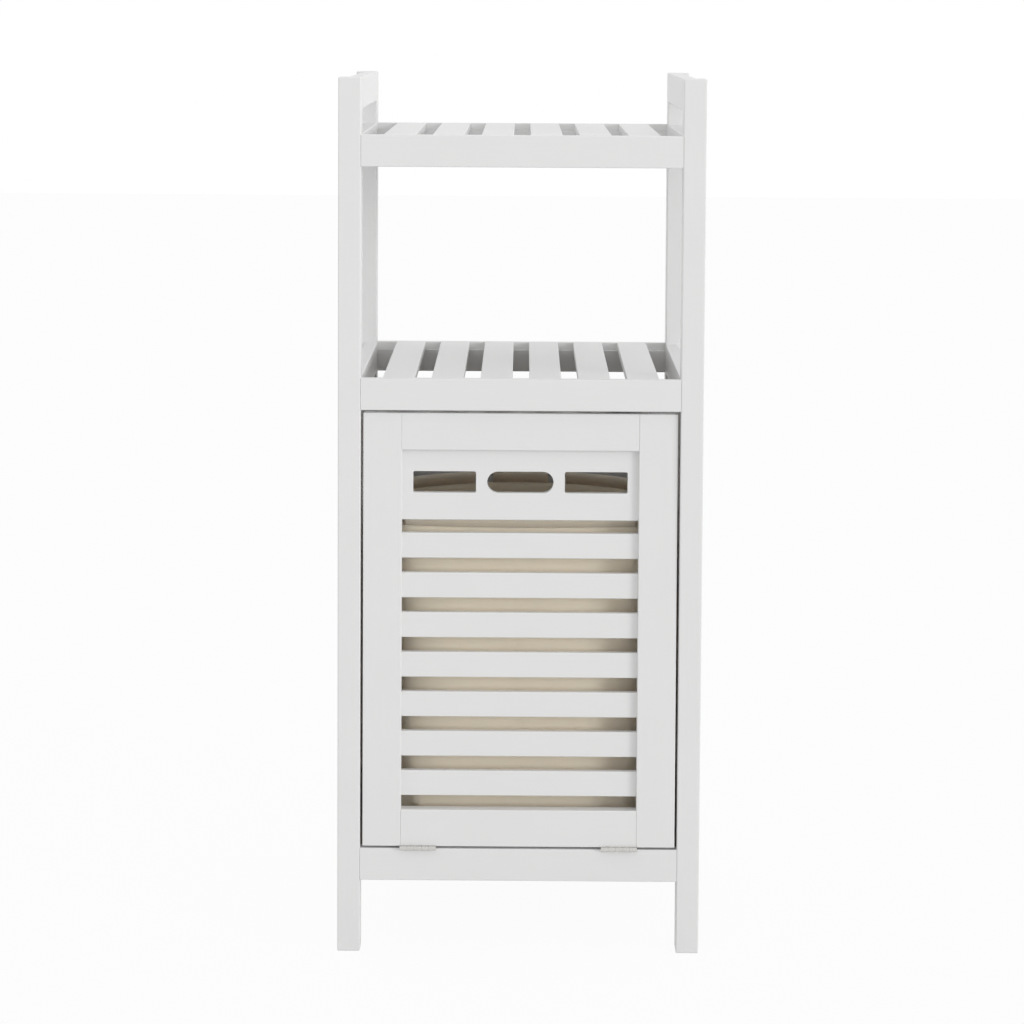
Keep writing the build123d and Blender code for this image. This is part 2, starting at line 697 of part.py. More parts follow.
# Strike plate on the back of the door, facing the magnet
with BuildPart() as strike_plate:
    with BuildSketch(door_back):
        with Locations((catch_x, strike_middle)):
            RectangleRounded(strike_width, strike_height, 2 * edge_round)
    extrude(amount=-strike_thickness)
    for step in (-1, 1):
        x = catch_x + step * strike_screw_spacing / 2
        head = door_back.from_local_coords(Vector(x, strike_middle, -strike_thickness))
        with Locations(Plane(origin=head, x_dir=(1, 0, 0), z_dir=door_out * -1)):
            CounterSinkHole(screw_radius, screw_head_radius, depth=strike_thickness + overrun)
strike_plate.part.label = "strike_plate"
export_step(strike_plate.part, "parts/strike_plate.step")

# Bag hoop: the rod, a bracket at each front corner and two stop tabs at the rear
rod_start = Plane(origin=(0, front_y + hoop_front, rim_z), z_dir=(1, 0, 0))
rod_path = hoop_loop(0).moved(Location((0, 0, rim_z)))
with BuildPart() as bag_hoop:
    with BuildSketch(rod_start):
        Circle(rod_radius)
    sweep(path=rod_path)
    for side, sign in SIDES:
        with BuildSketch(door_back):
            with Locations((sign * (bracket_inner_x + bracket_length / 2), bracket_middle)):
                Rectangle(bracket_length, bracket_height)
        extrude(amount=-bracket_thickness)
        with BuildSketch(door_back):
            with Locations((sign * (bracket_inner_x + bracket_thickness / 2), bracket_middle)):
                Rectangle(bracket_thickness, bracket_web_height)
        extrude(amount=-bracket_reach)
        for step in (-1, 1):
            height = bracket_middle + step * bracket_screw_spacing / 2
            head = door_back.from_local_coords(Vector(sign * bracket_screw_x, height, -bracket_thickness))
            with Locations(Plane(origin=head, x_dir=(1, 0, 0), z_dir=door_out * -1)):
                CounterSinkHole(screw_radius, screw_head_radius, depth=bracket_thickness + overrun)
        with BuildSketch(Plane.XZ.offset(-rear_arc_y(tab_x) + tab_thickness / 2)):
            with Locations((sign * tab_x, (rim_z + tab_top_z) / 2)):
                Rectangle(tab_width, tab_top_z - rim_z)
        extrude(amount=-tab_thickness)
bag_hoop.part.label = "bag_hoop"
export_step(bag_hoop.part, "parts/bag_hoop.step")

# Liner bag: a tapered sack hanging from a hem tunnel round the hoop, notched at the brackets and tabs
wall_top_z = rim_z - (hem_bore_radius + hem_radius) / 2
outer_top = hoop_loop(-bag_wall / 2)
outer_foot = hoop_loop(bag_taper)
inner_top = hoop_loop(bag_wall / 2)
inner_foot = hoop_loop(bag_taper + bag_wall)
with BuildPart() as liner_bag:
    with BuildSketch(Plane.XY.offset(wall_top_z)):
        make_face(outer_top.edges())
    with BuildSketch(Plane.XY.offset(bag_floor_z)):
        make_face(outer_foot.edges())
    loft()
    with BuildSketch(Plane.XY.offset(wall_top_z)):
        make_face(inner_top.edges())
    with BuildSketch(Plane.XY.offset(bag_floor_z + bag_wall)):
        make_face(inner_foot.edges())
    loft(mode=Mode.SUBTRACT)
    with BuildSketch(rod_start):
        RegularPolygon(hem_radius, hem_sides, major_radius=False)
    sweep(path=rod_path)
    with BuildSketch(rod_start):
        RegularPolygon(hem_bore_radius, hem_sides, major_radius=False)
    sweep(path=rod_path, mode=Mode.SUBTRACT)
    with BuildSketch(Plane.XY.offset(rim_z - hem_notch / 2)):
        for side, sign in SIDES:
            with Locations((sign * bracket_inner_x, front_y + bracket_notch_y)):
                Rectangle(hem_notch, hem_notch)
            with Locations((sign * tab_x, rear_arc_y(tab_x))):
                Rectangle(hem_notch, hem_notch)
    extrude(amount=hem_notch, mode=Mode.SUBTRACT)
liner_bag.part.label = "liner_bag"
export_step(liner_bag.part, "parts/liner_bag.step")

# The door opens until the stop tabs meet the back of the middle front rail
tab_front_y = rear_arc_y(tab_x) - tab_thickness / 2 - hinge_y
tab_reach = hypot(tab_front_y, tab_top_z - hinge_z)
closed_angle = degrees(atan2(tab_front_y, tab_top_z - hinge_z))
stop_angle = degrees(asin((front_y + rail_thickness - hinge_y) / tab_reach))
print("hinge axis y", round(hinge_y, 3), "z", round(hinge_z, 3), "lean", round(degrees(door_lean), 3))
print("stops meet at", round(closed_angle - stop_angle, 2), "degrees open")
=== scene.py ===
import json
import math

import bpy
from mathutils import Matrix, Vector, noise


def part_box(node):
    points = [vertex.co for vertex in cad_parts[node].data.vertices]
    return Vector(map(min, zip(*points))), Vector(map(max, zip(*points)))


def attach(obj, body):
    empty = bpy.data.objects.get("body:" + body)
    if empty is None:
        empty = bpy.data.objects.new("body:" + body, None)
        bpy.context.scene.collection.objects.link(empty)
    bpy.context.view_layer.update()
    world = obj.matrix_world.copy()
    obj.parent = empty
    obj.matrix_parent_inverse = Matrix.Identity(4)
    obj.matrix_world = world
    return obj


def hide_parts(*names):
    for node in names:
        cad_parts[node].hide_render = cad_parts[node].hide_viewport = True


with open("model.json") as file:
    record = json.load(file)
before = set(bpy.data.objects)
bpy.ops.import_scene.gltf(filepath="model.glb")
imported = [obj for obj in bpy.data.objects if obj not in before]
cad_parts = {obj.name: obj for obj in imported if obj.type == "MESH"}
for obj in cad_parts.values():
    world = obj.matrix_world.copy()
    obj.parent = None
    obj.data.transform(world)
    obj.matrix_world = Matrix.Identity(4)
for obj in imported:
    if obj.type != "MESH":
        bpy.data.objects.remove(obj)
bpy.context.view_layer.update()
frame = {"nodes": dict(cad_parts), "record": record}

# The front plane of the posts
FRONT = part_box("post_front_left")[0].y

# Camera, found from the photograph's perspective
CAMERA_PLACE = (0.0014, FRONT - 2.7623, 1.0306)
CAMERA_YAW = math.radians(-0.256)
CAMERA_PITCH = math.radians(3.787)
CAMERA_ROLL = math.radians(0.319)
CAMERA_LENS = 89.617
CAMERA_SENSOR = 36.0
CAMERA_SHIFT = -0.3157

# Light: one soft key from the front right, and a pale surround with a bright band at the horizon
KEY_FROM = (1.4, -1.0, 0.30)
KEY_ANGLE = math.radians(20.0)
KEY_STRENGTH = 0.97
SURROUND = 0.555
SURROUND_UP = 0.44
SURROUND_BAND = 0.8
BAND_POWER = 6.0

# Floor: its half width, its own grey, and how much of it the camera sees as plain white
FLOOR_REACH = 12.0
FLOOR_GREY = 0.64
FLOOR_WHITE = 0.95

# Hoop and bag, in metres. The hoop's sizes are the model's.
RIM_Z = 0.482
HALF_WIDTH = 0.146
HOOP_FRONT = FRONT + 0.0315
HOOP_REAR = FRONT + 0.300
FRONT_CORNER = 0.022
SIDE_CORNER = 0.045
REAR_RADIUS = 0.1972
ROD_RADIUS = 0.0025
BAG_FLOOR = 0.131
BAG_TAPER = 0.004
BAG_BOW = 0.007
CLOTH = 0.0008
BAG_RIPPLE = 0.006
RIPPLE_WAVES = 9.0
RIPPLE_RISE = 1.3
RIPPLE_SLICE = 4.2
HEM_DEPTH = 0.0105
HEM_DROOP = 0.002
HEM_OVERTURN = 0.35
HEM_PLY = 0.6 * CLOTH
HEM_FLAT_FROM = 0.4
HEM_FLAT_STEP = 0.0022
HEM_COLUMNS = 360
HEM_TURN = 12
BODY_COLUMNS = 180
BODY_ROWS = 58
FLOOR_RINGS = 14
FLOOR_MIDDLE = 0.35
HANG_FRAMES = 30
NOTCH_HALF = 0.009
BRACKET_X = 0.140
TAB_X = 0.045
STITCH_COUNT = 252
STITCH_STEP = 4
STITCH_SIDES = 6
STITCH_TAPER = 0.35
STITCH_SINK = 0.0003
STITCH_RISE = 0.0012
STITCH_LENGTH = 0.0030
STITCH_RADIUS = 0.00022
THREAD_PITCH = 0.00062


def new_material(name):
    """A new node material, with its nodes, its links and its shader."""
    material = bpy.data.materials.new(name)
    material.use_nodes = True
    nodes = material.node_tree.nodes
    return material, nodes, material.node_tree.links, nodes["Principled BSDF"]


def math_node(nodes, links, operation, first, second=None, third=None):
    """One Math node whose inputs are numbers or sockets, and its output."""
    node = nodes.new("ShaderNodeMath")
    node.operation = operation
    for index, value in enumerate((first, second, third)):
        if value is None:
            continue
        if isinstance(value, (int, float)):
            node.inputs[index].default_value = value
        else:
            links.new(value, node.inputs[index])
    return node.outputs[0]


def noise_node(nodes, links, vector, scale, detail=3.0, roughness=0.5):
    """Noise from a vector socket, and its factor."""
    node = nodes.new("ShaderNodeTexNoise")
    node.inputs["Scale"].default_value = scale
    node.inputs["Detail"].default_value = detail
    node.inputs["Roughness"].default_value = roughness
    links.new(vector, node.inputs["Vector"])
    return node.outputs["Fac"]


def place_node(nodes, links, stretch=(1.0, 1.0, 1.0)):
    """Object coordinates, in metres, scaled along each axis."""
    place = nodes.new("ShaderNodeTexCoord")
    mapping = nodes.new("ShaderNodeMapping")
    mapping.inputs["Scale"].default_value = stretch
    links.new(place.outputs["Object"], mapping.inputs["Vector"])
    return mapping.outputs["Vector"]


def range_node(nodes, links, value, low, high):
    """A factor from 0 to 1 spread from low to high."""
    node = nodes.new("ShaderNodeMapRange")
    node.inputs["To Min"].default_value = low
    node.inputs["To Max"].default_value = high
    links.new(value, node.inputs["Value"])
    return node.outputs["Result"]


def two_colours(nodes, links, factor, first, second):
    """A colour between first and second by a factor."""
    node = nodes.new("ShaderNodeMix")
    node.data_type = "RGBA"
    links.new(factor, node.inputs["Factor"])
    node.inputs["A"].default_value = (*first, 1.0)
    node.inputs["B"].default_value = (*second, 1.0)
    return node.outputs["Result"]


def bump_node(nodes, links, height, strength, distance, below=None):
    """A bump from a height socket, on top of another bump."""
    node = nodes.new("ShaderNodeBump")
    node.inputs["Strength"].default_value = strength
    node.inputs["Distance"].default_value = distance
    links.new(height, node.inputs["Height"])
    if below is not None:
        links.new(below, node.inputs["Normal"])
    return node.outputs["Normal"]


def white_paint(axis):
    """Sprayed satin white over close-grained wood whose grain runs along one axis."""
    material, nodes, links, shader = new_material(f"white_paint_{'xyz'[axis]}")
    stretch = [1.0, 1.0, 1.0]
    stretch[axis] = 0.06
    along = place_node(nodes, links, stretch)
    plain = place_node(nodes, links)
    grain = noise_node(nodes, links, along, 420.0, 5.0, 0.62)
    cloud = noise_node(nodes, links, plain, 14.0, 3.0, 0.5)
    peel = noise_node(nodes, links, plain, 900.0, 2.0, 0.5)
    clouded = math_node(nodes, links, "MULTIPLY", cloud, 0.6)
    tone = math_node(nodes, links, "MULTIPLY_ADD", grain, 0.4, clouded)
    links.new(
        two_colours(nodes, links, tone, (0.768, 0.768, 0.764), (0.812, 0.812, 0.808)),
        shader.inputs["Base Color"],
    )
    links.new(range_node(nodes, links, cloud, 0.36, 0.50), shader.inputs["Roughness"])
    shader.inputs["Specular IOR Level"].default_value = 0.4
    low = bump_node(nodes, links, grain, 0.10, 0.0003)
    links.new(bump_node(nodes, links, peel, 0.06, 0.0002, low), shader.inputs["Normal"])
    return material


def white_panel():
    """Thin board with a smooth white face and a faint pebble."""
    material, nodes, links, shader = new_material("white_panel")
    plain = place_node(nodes, links)
    cloud = noise_node(nodes, links, plain, 9.0, 3.0, 0.5)
    pebble = noise_node(nodes, links, plain, 1400.0, 2.0, 0.5)
    links.new(
        two_colours(nodes, links, cloud, (0.80, 0.80, 0.795), (0.85, 0.85, 0.846)), shader.inputs["Base Color"]
    )
    links.new(range_node(nodes, links, cloud, 0.42, 0.55), shader.inputs["Roughness"])
    links.new(bump_node(nodes, links, pebble, 0.10, 0.0002), shader.inputs["Normal"])
    return material


def bare_wood():
    """Unpainted beech, with its long grain across the cabinet."""
    material, nodes, links, shader = new_material("bare_wood")
    along = place_node(nodes, links, (0.08, 1.0, 1.0))
    grain = noise_node(nodes, links, along, 700.0, 5.0, 0.6)
    links.new(
        two_colours(nodes, links, grain, (0.42, 0.25, 0.12), (0.66, 0.45, 0.26)), shader.inputs["Base Color"]
    )
    shader.inputs["Roughness"].default_value = 0.6
    links.new(bump_node(nodes, links, grain, 0.3, 0.0002), shader.inputs["Normal"])
    return material


def metal(name, dark, light, rough_low, rough_high, stretch):
    """Bare metal with fine drawn lines, cloudy tone and a little change of gloss."""
    material, nodes, links, shader = new_material(name)
    lines = noise_node(nodes, links, place_node(nodes, links, stretch), 4000.0, 3.0, 0.6)
    cloud = noise_node(nodes, links, place_node(nodes, links), 160.0, 3.0, 0.5)
    clouded = math_node(nodes, links, "MULTIPLY", cloud, 0.5)
    tone = math_node(nodes, links, "MULTIPLY_ADD", lines, 0.5, clouded)
    links.new(two_colours(nodes, links, tone, dark, light), shader.inputs["Base Color"])
    shader.inputs["Metallic"].default_value = 1.0
    links.new(range_node(nodes, links, cloud, rough_low, rough_high), shader.inputs["Roughness"])
    links.new(bump_node(nodes, links, lines, 0.12, 0.00005), shader.inputs["Normal"])
    return material


def plastic(name, colour, roughness):
    """Moulded plastic with a fine spark-eroded skin."""
    material, nodes, links, shader = new_material(name)
    skin = noise_node(nodes, links, place_node(nodes, links), 2600.0, 2.0, 0.6)
    dark = tuple(0.94 * part for part in colour)
    links.new(two_colours(nodes, links, skin, dark, colour), shader.inputs["Base Color"])
    shader.inputs["Roughness"].default_value = roughness
    links.new(bump_node(nodes, links, skin, 0.2, 0.0001), shader.inputs["Normal"])
    return material


def woven_cloth():
    """Plain-woven cream cotton: crossing threads from the cloth's own flat coordinates, with slubs. Its cream
    is written brighter than the cotton's own as painted light, and the gaps between threads carry painted
    shade.
    """
    material, nodes, links, shader = new_material("cream_cloth_painted_light")
    flat = nodes.new("ShaderNodeUVMap")
    flat.uv_map = "flat"
    split = nodes.new("ShaderNodeSeparateXYZ")
    links.new(flat.outputs["UV"], split.inputs["Vector"])
    wander = noise_node(nodes, links, flat.outputs["UV"], 90.0, 2.0, 0.5)
    shift = math_node(nodes, links, "MULTIPLY", wander, THREAD_PITCH * 1.2)
    turns = math.pi / THREAD_PITCH
    across = math_node(nodes, links, "ADD", split.outputs["X"], shift)
    across = math_node(nodes, links, "MULTIPLY", across, turns)
    up = math_node(nodes, links, "ADD", split.outputs["Y"], shift)
    up = math_node(nodes, links, "MULTIPLY", up, turns)
    warp = math_node(nodes, links, "SINE", across)
    weft = math_node(nodes, links, "SINE", up)
    over = math_node(nodes, links, "MULTIPLY", warp, weft)
    over = math_node(nodes, links, "MULTIPLY_ADD", over, 0.5, 0.5)
    warp_round = math_node(nodes, links, "ABSOLUTE", warp)
    weft_round = math_node(nodes, links, "ABSOLUTE", weft)
    step = math_node(nodes, links, "SUBTRACT", warp_round, weft_round)
    height = math_node(nodes, links, "MULTIPLY_ADD", step, over, weft_round)
    stretched = nodes.new("ShaderNodeMapping")
    stretched.inputs["Scale"].default_value = (40.0, 900.0, 1.0)
    links.new(flat.outputs["UV"], stretched.inputs["Vector"])
    slub = noise_node(nodes, links, stretched.outputs["Vector"], 1.0, 3.0, 0.6)
    cloud = noise_node(nodes, links, flat.outputs["UV"], 22.0, 3.0, 0.5)
    tone = math_node(nodes, links, "MULTIPLY", slub, 0.35)
    tone = math_node(nodes, links, "MULTIPLY_ADD", cloud, 0.25, tone)
    # Painted shade: the weave's height darkens the colour in the gaps between threads, where shade falls.
    tone = math_node(nodes, links, "MULTIPLY_ADD", height, 0.4, tone)
    # Painted light: both creams are written brighter than the cotton's own cream, standing in for light that
    # reaches the bag through the slats.
    links.new(
        two_colours(nodes, links, tone, (0.94, 0.79, 0.62), (0.99, 0.875, 0.725)), shader.inputs["Base Color"]
    )
    shader.inputs["Roughness"].default_value = 0.9
    shader.inputs["Subsurface Weight"].default_value = 0.5
    shader.inputs["Subsurface Radius"].default_value = (1.0, 0.9, 0.8)
    shader.inputs["Subsurface Scale"].default_value = 0.002
    shader.inputs["Sheen Weight"].default_value = 0.15
    shader.inputs["Sheen Roughness"].default_value = 0.5
    shader.inputs["Specular IOR Level"].default_value = 0.2
    fuzz = bump_node(nodes, links, slub, 0.25, 0.0003)
    links.new(bump_node(nodes, links, height, 0.5, 0.0002, fuzz), shader.inputs["Normal"])
    return material


def sewing_thread():
    """Twisted polyester thread, a little lighter than the cloth."""
    material, nodes, links, shader = new_material("cream_thread")
    twist = noise_node(nodes, links, place_node(nodes, links), 3000.0, 2.0, 0.5)
    links.new(
        two_colours(nodes, links, twist, (0.60, 0.50, 0.38), (0.86, 0.77, 0.63)), shader.inputs["Base Color"]
    )
    shader.inputs["Roughness"].default_value = 0.6
    return material


def finish_nodes():
    """Gives each CAD node its material by the record's slot and, for painted wood, by its long axis."""
    paints = [white_paint(axis) for axis in range(3)]
    finishes = {
        "white_panel": white_panel(),
        "bare_wood": bare_wood(),
        "zinc_steel": metal(
            "zinc_steel", (0.40, 0.41, 0.42), (0.66, 0.67, 0.68), 0.28, 0.42, (0.2, 0.2, 1.0)
        ),
        "nickel_steel": metal(
            "nickel_steel", (0.46, 0.45, 0.43), (0.76, 0.75, 0.72), 0.20, 0.34, (0.05, 1.0, 1.0)
        ),
        "white_plastic": plastic("white_plastic", (0.80, 0.80, 0.79), 0.45),
        "dark_magnet": metal(
            "dark_magnet", (0.10, 0.10, 0.105), (0.24, 0.24, 0.25), 0.45, 0.6, (1.0, 1.0, 1.0)
        ),
        "cream_fabric": plastic("hidden_cloth", (0.80, 0.70, 0.57), 0.9),
    }
    for part in frame["record"]["subparts"]:
        name = part["node"]
        piece = frame["nodes"][name]
        low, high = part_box(name)
        size = high - low
        slot = part["material_slot"]
        material = paints[list(size).index(max(size))] if slot == "white_paint" else finishes[slot]
        piece.data.materials.clear()
        piece.data.materials.append(material)


def hoop_loop(inset, count):
    """Points evenly spaced round the hoop's plan, from the middle of its front, seen from above, with the
    distance along it and the way out at each."""
    half = HALF_WIDTH - inset
    front = HOOP_FRONT + inset
    corner = FRONT_CORNER - inset
    side = SIDE_CORNER - inset
    rear = REAR_RADIUS - inset
    rear_centre = HOOP_REAR - REAR_RADIUS
    side_x = HALF_WIDTH - SIDE_CORNER
    side_y = rear_centre + math.sqrt((REAR_RADIUS - SIDE_CORNER) ** 2 - side_x**2)
    turn = math.atan2(side_y - rear_centre, side_x)
    spans = [
        ("line", half - corner),
        ("arc", corner * math.pi / 2),
        ("line", side_y - front - corner),
        ("arc", side * turn),
        ("arc", rear * (math.pi / 2 - turn)),
    ]
    total = sum(length for kind, length in spans)

    def half_point(s):
        if s <= spans[0][1]:
            return Vector((s, front, 0.0)), Vector((0.0, -1.0, 0.0))
        s -= spans[0][1]
        if s <= spans[1][1]:
            angle = s / corner - math.pi / 2
            out = Vector((math.cos(angle), math.sin(angle), 0.0))
            return Vector((half - corner, front + corner, 0.0)) + out * corner, out
        s -= spans[1][1]
        if s <= spans[2][1]:
            return Vector((half, front + corner + s, 0.0)), Vector((1.0, 0.0, 0.0))
        s -= spans[2][1]
        if s <= spans[3][1]:
            angle = s / side
            out = Vector((math.cos(angle), math.sin(angle), 0.0))
            return Vector((side_x, side_y, 0.0)) + out * side, out
        s -= spans[3][1]
        angle = turn + s / rear
        out = Vector((math.cos(angle), math.sin(angle), 0.0))
        return Vector((0.0, rear_centre, 0.0)) + out * rear, out

    result = []
    for index in range(count):
        s = 2 * total * index / count
        mirrored = s > total
        point, out = half_point(2 * total - s if mirrored else s)
        if mirrored:
            point.x = -point.x
            out.x = -out.x
        result.append((point, out))
    return result, 2 * total


def mesh_object(name, points, faces, uvs=None):
    """A smooth mesh object, with flat cloth coordinates in metres where they are given."""
    mesh = bpy.data.meshes.new(name)
    mesh.from_pydata(points, [], faces)
    if uvs:
        layer = mesh.uv_layers.new(name="flat")
        for loop in mesh.loops:
            layer.data[loop.index].uv = uvs[loop.vertex_index]
    mesh.polygons.foreach_set("use_smooth", [True] * len(mesh.polygons))
    piece = bpy.data.objects.new(name, mesh)
    bpy.context.scene.collection.objects.link(piece)
    return piece


def stitch_height(point):
    """Height of the hem's stitch line, which droops a little along the straight front."""
    level = RIM_Z - HEM_DEPTH
    if point.y > HOOP_FRONT + FRONT_CORNER:
        return level
    share = max(0.0, 1.0 - (point.x / (HALF_WIDTH - FRONT_CORNER)) ** 2)
    return level - HEM_DROOP * share


def in_notch(point):
    """True where the hem is cut away for a bracket or a stop tab."""
    at_bracket = abs(abs(point.x) - BRACKET_X) < NOTCH_HALF and point.y < HOOP_FRONT + FRONT_CORNER
    at_tab = abs(abs(point.x) - TAB_X) < NOTCH_HALF and point.y > HOOP_FRONT + 2 * FRONT_CORNER
    return at_bracket or at_tab


def apply_modifiers(piece):
    """Puts the result of every modifier into the piece's mesh."""
    graph = bpy.context.evaluated_depsgraph_get()
    mesh = bpy.data.meshes.new_from_object(piece.evaluated_get(graph))
    old = piece.data
    piece.modifiers.clear()
    piece.data = mesh
    bpy.data.meshes.remove(old)


def bag_body(cloth):
    """The sack below the hem: one wall and a floor, relaxed by a cloth simulation."""
    points = []
    uvs = []
    faces = []
    loop, girth = hoop_loop(0.0, BODY_COLUMNS)
    top_z = RIM_Z - HEM_DEPTH
    for row in range(BODY_ROWS + 1):
        depth = row / BODY_ROWS
        ring = hoop_loop(BAG_TAPER * depth, BODY_COLUMNS)[0]
        for column in range(BODY_COLUMNS):
            point, out = ring[column]
            top = stitch_height(loop[column][0])
            along = column * girth / BODY_COLUMNS
            ripple = noise.noise(Vector((along * RIPPLE_WAVES, depth * RIPPLE_RISE, RIPPLE_SLICE)))
            swell = math.sin(math.pi * depth)
            point = point + out * (ripple * BAG_RIPPLE * swell + BAG_BOW * swell * min(0.0, out.y))
            points.append((point.x, point.y, top + (BAG_FLOOR - top) * depth))
            uvs.append((along, (top_z - BAG_FLOOR) * (1.0 - depth)))
    last = BODY_ROWS * BODY_COLUMNS
    centre = Vector((0.0, (HOOP_FRONT + HOOP_REAR) / 2, BAG_FLOOR))
    for ring_index in range(1, FLOOR_RINGS + 1):
        share = 1.0 - ring_index / (FLOOR_RINGS + FLOOR_MIDDLE)
        for column in range(BODY_COLUMNS):
            rim = Vector(points[last + column])
            point = centre + (rim - centre) * share
            points.append((point.x, point.y, BAG_FLOOR))
            uvs.append((point.x, point.y))
    rows = BODY_ROWS + FLOOR_RINGS
    for row in range(rows):
        for column in range(BODY_COLUMNS):
            beside = (column + 1) % BODY_COLUMNS
            faces.append(
                (
                    row * BODY_COLUMNS + column,
                    (row + 1) * BODY_COLUMNS + column,
                    (row + 1) * BODY_COLUMNS + beside,
                    row * BODY_COLUMNS + beside,
                )
            )
    faces.append(tuple(rows * BODY_COLUMNS + column for column in reversed(range(BODY_COLUMNS))))
    body = mesh_object("bag_body", points, faces, uvs)
    relax_cloth(body)
    thick = body.modifiers.new("thickness", "SOLIDIFY")
    thick.thickness = CLOTH
    thick.offset = 0.0
    apply_modifiers(body)
    body.data.materials.append(cloth)
    return body


def relax_cloth(body):
    """Lets the cloth settle for a short time between its top row and the seam round its floor."""
    pin = body.vertex_groups.new(name="pin")
    base_seam = BODY_ROWS * BODY_COLUMNS
    pin.add(list(range(BODY_COLUMNS)), 1.0, "REPLACE")
    pin.add(list(range(base_seam, base_seam + BODY_COLUMNS)), 1.0, "REPLACE")
    modifier = body.modifiers.new("hang", "CLOTH")
    settings = modifier.settings
    settings.quality = 6
    settings.mass = 0.25
    settings.tension_stiffness = 18.0
    settings.compression_stiffness = 18.0
    settings.shear_stiffness = 8.0
    settings.bending_stiffness = 0.4
    settings.vertex_group_mass = "pin"
    settings.air_damping = 3.0
    modifier.collision_settings.use_collision = False
    scene = bpy.context.scene
    for number in range(1, HANG_FRAMES + 1):
        scene.frame_set(number)
    apply_modifiers(body)
    scene.frame_set(1)


def bag_hem(cloth):
    """The hem: the cloth's top edge turned over the rod and sewn down, cut away at brackets and tabs."""
    loop, girth = hoop_loop(0.0, HEM_COLUMNS)
    reach = ROD_RADIUS + CLOTH
    points = []
    uvs = []
    for column, (point, out) in enumerate(loop):
        stitch = stitch_height(point)
        profile = [(HEM_PLY, stitch - RIM_Z)]
        for step in range(HEM_TURN + 1):
            angle = (math.pi + 2 * HEM_OVERTURN) * step / HEM_TURN - HEM_OVERTURN
            profile.append((reach * math.cos(angle), reach * math.sin(angle)))
        profile.append((-HEM_PLY, stitch - RIM_Z))
        for step, (side, rise) in enumerate(profile):
            place = point + out * side
            points.append((place.x, place.y, RIM_Z + rise))
            uvs.append((column * girth / HEM_COLUMNS, HEM_FLAT_FROM + step * HEM_FLAT_STEP))
    count = HEM_TURN + 3
    faces = []
    for column in range(HEM_COLUMNS):
        if in_notch(loop[column][0]) or in_notch(loop[(column + 1) % HEM_COLUMNS][0]):
            continue
        beside = (column + 1) % HEM_COLUMNS
        for step in range(count - 1):
            faces.append(
                (
                    column * count + step,
                    beside * count + step,
                    beside * count + step + 1,
                    column * count + step + 1,
                )
            )
    hem = mesh_object("bag_hem", points, faces, uvs)
    thick = hem.modifiers.new("thickness", "SOLIDIFY")
    thick.thickness = CLOTH * 0.8
    thick.offset = 0.0
    apply_modifiers(hem)
    hem.data.materials.append(cloth)
    return hem


def bag_stitches(thread):
    """A row of lockstitches along the hem, outside and in."""
    loop = hoop_loop(0.0, STITCH_COUNT * STITCH_STEP)[0]
    points = []
    faces = []
    sides = STITCH_SIDES
    for point, out in loop[::STITCH_STEP]:
        if in_notch(point):
            continue
        along = Vector((-out.y, out.x, 0.0))
        for face_side in (1, -1):
            centre = point + out * (face_side * (CLOTH + STITCH_RADIUS * 0.6))
            centre.z = stitch_height(point) + STITCH_RISE
            for end in (-1, -0.55, 0.55, 1):
                at_end = abs(end) == 1
                radius = STITCH_RADIUS * (STITCH_TAPER if at_end else 1.0)
                sink = -STITCH_SINK if at_end else 0.0
                ring = centre + along * end * STITCH_LENGTH / 2 + out * face_side * sink
                for corner in range(sides):
                    angle = 2 * math.pi * corner / sides
                    spot = ring + out * radius * math.cos(angle) + Vector((0, 0, radius * math.sin(angle)))
                    points.append(tuple(spot))
            start = len(points) - 4 * sides
            for part in range(3):
                for corner in range(sides):
                    beside = (corner + 1) % sides
                    a = start + part * sides
                    faces.append((a + corner, a + beside, a + sides + beside, a + sides + corner))
            faces.append(tuple(start + corner for corner in reversed(range(sides))))
            faces.append(tuple(start + 3 * sides + corner for corner in range(sides)))
    stitches = mesh_object("bag_stitches", points, faces)
    stitches.data.materials.append(thread)
    return stitches


def make_bag():
    """The bag rides on the door and stands for the plain solid."""
    cloth = woven_cloth()
    thread = sewing_thread()
    body = bag_body(cloth)
    hem = bag_hem(cloth)
    stitches = bag_stitches(thread)
    for piece in (body, hem, stitches):
        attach(piece, "door")
    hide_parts("liner_bag")
    girth = hoop_loop(BAG_TAPER / 2, BODY_COLUMNS)[1]
    floor_loop = hoop_loop(BAG_TAPER, BODY_COLUMNS)[0]


def make_floor():
    """A pale floor that takes a faint shadow near the cabinet and fades to white round it."""
    mesh = bpy.data.meshes.new("floor")
    mesh.from_pydata(
        [(x * FLOOR_REACH, y * FLOOR_REACH, 0.0) for x, y in ((-1, -1), (1, -1), (1, 1), (-1, 1))],
        [],
        [(0, 1, 2, 3)],
    )
    floor = bpy.data.objects.new("floor", mesh)
    bpy.context.scene.collection.objects.link(floor)
    material, nodes, links, shader = new_material("pale_floor")
    nodes.remove(shader)
    diffuse = nodes.new("ShaderNodeBsdfDiffuse")
    diffuse.inputs["Color"].default_value = (FLOOR_GREY, FLOOR_GREY, FLOOR_GREY, 1.0)
    white = nodes.new("ShaderNodeEmission")
    white.inputs["Color"].default_value = (1.0, 1.0, 1.0, 1.0)
    path = nodes.new("ShaderNodeLightPath")
    seen = math_node(nodes, links, "MAXIMUM", path.outputs["Is Camera Ray"], path.outputs["Is Glossy Ray"])
    seen = math_node(nodes, links, "MAXIMUM", seen, path.outputs["Is Transmission Ray"])
    share = math_node(nodes, links, "MULTIPLY", seen, FLOOR_WHITE)
    mix = nodes.new("ShaderNodeMixShader")
    links.new(share, mix.inputs[0])
    links.new(diffuse.outputs[0], mix.inputs[1])
    links.new(white.outputs[0], mix.inputs[2])
    links.new(mix.outputs[0], nodes["Material Output"].inputs["Surface"])
    floor.data.materials.append(material)


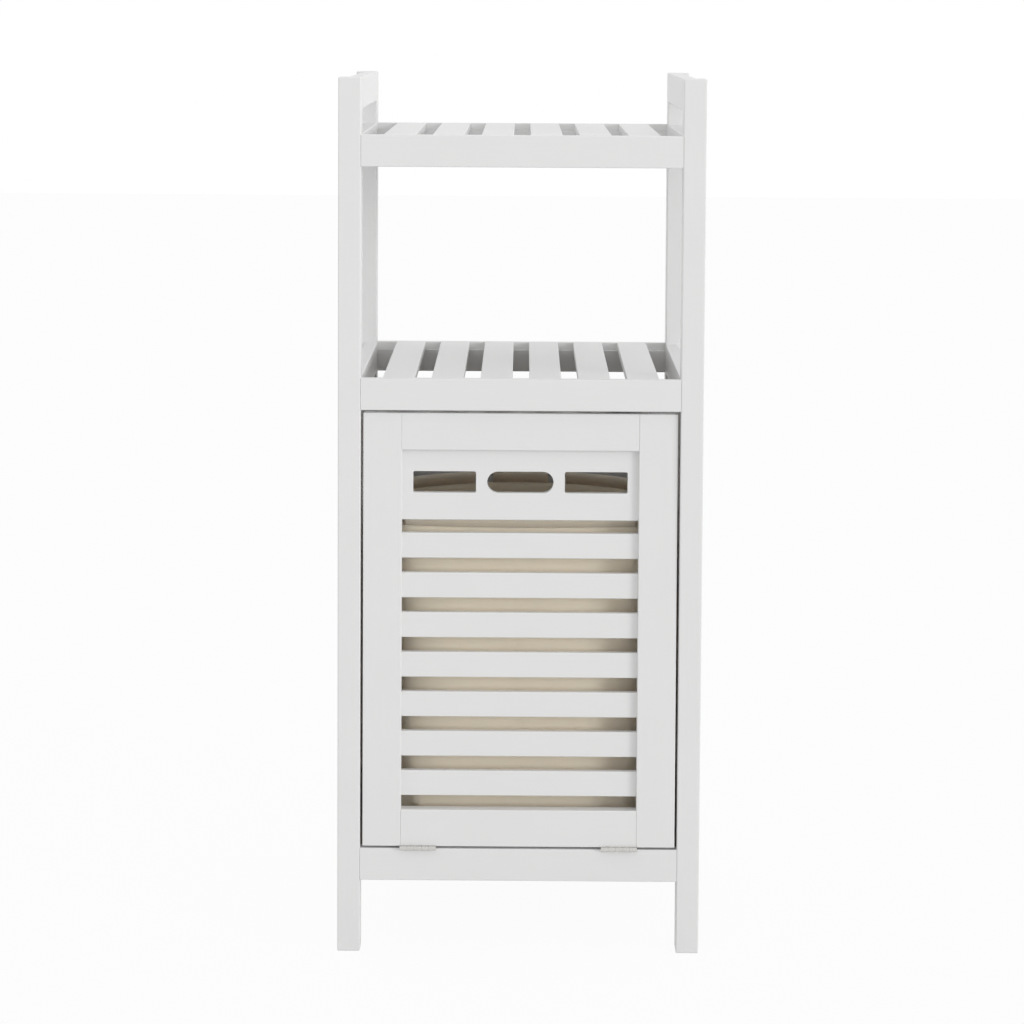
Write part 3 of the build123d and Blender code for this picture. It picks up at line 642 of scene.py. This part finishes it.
def make_light():
    """One soft key from the front right, and a surround that is brighter overhead and at the horizon."""
    data = bpy.data.lights.new("key", "SUN")
    data.energy = KEY_STRENGTH
    data.angle = KEY_ANGLE
    key = bpy.data.objects.new("key", data)
    key.rotation_mode = "QUATERNION"
    key.rotation_quaternion = (-Vector(KEY_FROM)).to_track_quat("-Z", "Y")
    bpy.context.scene.collection.objects.link(key)

    world = bpy.data.worlds.new("surround")
    bpy.context.scene.world = world
    world.use_nodes = True
    nodes = world.node_tree.nodes
    links = world.node_tree.links
    background = nodes["Background"]
    direction = nodes.new("ShaderNodeTexCoord")
    split = nodes.new("ShaderNodeSeparateXYZ")
    links.new(direction.outputs["Generated"], split.inputs["Vector"])
    above = math_node(nodes, links, "MAXIMUM", split.outputs["Z"], 0.0)
    band = math_node(nodes, links, "POWER", math_node(nodes, links, "SUBTRACT", 1.0, above), BAND_POWER)
    fill = math_node(nodes, links, "MULTIPLY_ADD", above, SURROUND_UP, SURROUND)
    fill = math_node(nodes, links, "MULTIPLY_ADD", band, SURROUND_BAND, fill)
    path = nodes.new("ShaderNodeLightPath")
    seen = math_node(nodes, links, "MAXIMUM", path.outputs["Is Camera Ray"], path.outputs["Is Glossy Ray"])
    seen = math_node(nodes, links, "MAXIMUM", seen, path.outputs["Is Transmission Ray"])
    strength = nodes.new("ShaderNodeMix")
    links.new(seen, strength.inputs["Factor"])
    links.new(fill, strength.inputs["A"])
    strength.inputs["B"].default_value = 1.0
    background.inputs["Color"].default_value = (1.0, 1.0, 1.0, 1.0)
    links.new(strength.outputs["Result"], background.inputs["Strength"])


def make_camera():
    """The photograph's view, with the lens shifted down instead of tilted."""
    data = bpy.data.cameras.new("camera")
    data.sensor_width = CAMERA_SENSOR
    data.lens = CAMERA_LENS
    data.shift_y = CAMERA_SHIFT
    data.clip_start = 0.05
    data.clip_end = 60.0
    camera = bpy.data.objects.new("camera", data)
    bpy.context.scene.collection.objects.link(camera)
    level = math.cos(CAMERA_PITCH)
    forward = Vector((math.sin(CAMERA_YAW) * level, math.cos(CAMERA_YAW) * level, -math.sin(CAMERA_PITCH)))
    right = forward.cross(Vector((0.0, 0.0, 1.0))).normalized()
    up = right.cross(forward)
    right = right * math.cos(CAMERA_ROLL) + up * math.sin(CAMERA_ROLL)
    up = right.cross(forward)
    turn = Matrix((right, up, -forward)).transposed().to_4x4()
    camera.matrix_world = Matrix.Translation(Vector(CAMERA_PLACE)) @ turn
    bpy.context.scene.camera = camera


bpy.context.scene.view_settings.view_transform = "Standard"
make_camera()
make_light()
make_floor()
finish_nodes()
make_bag()
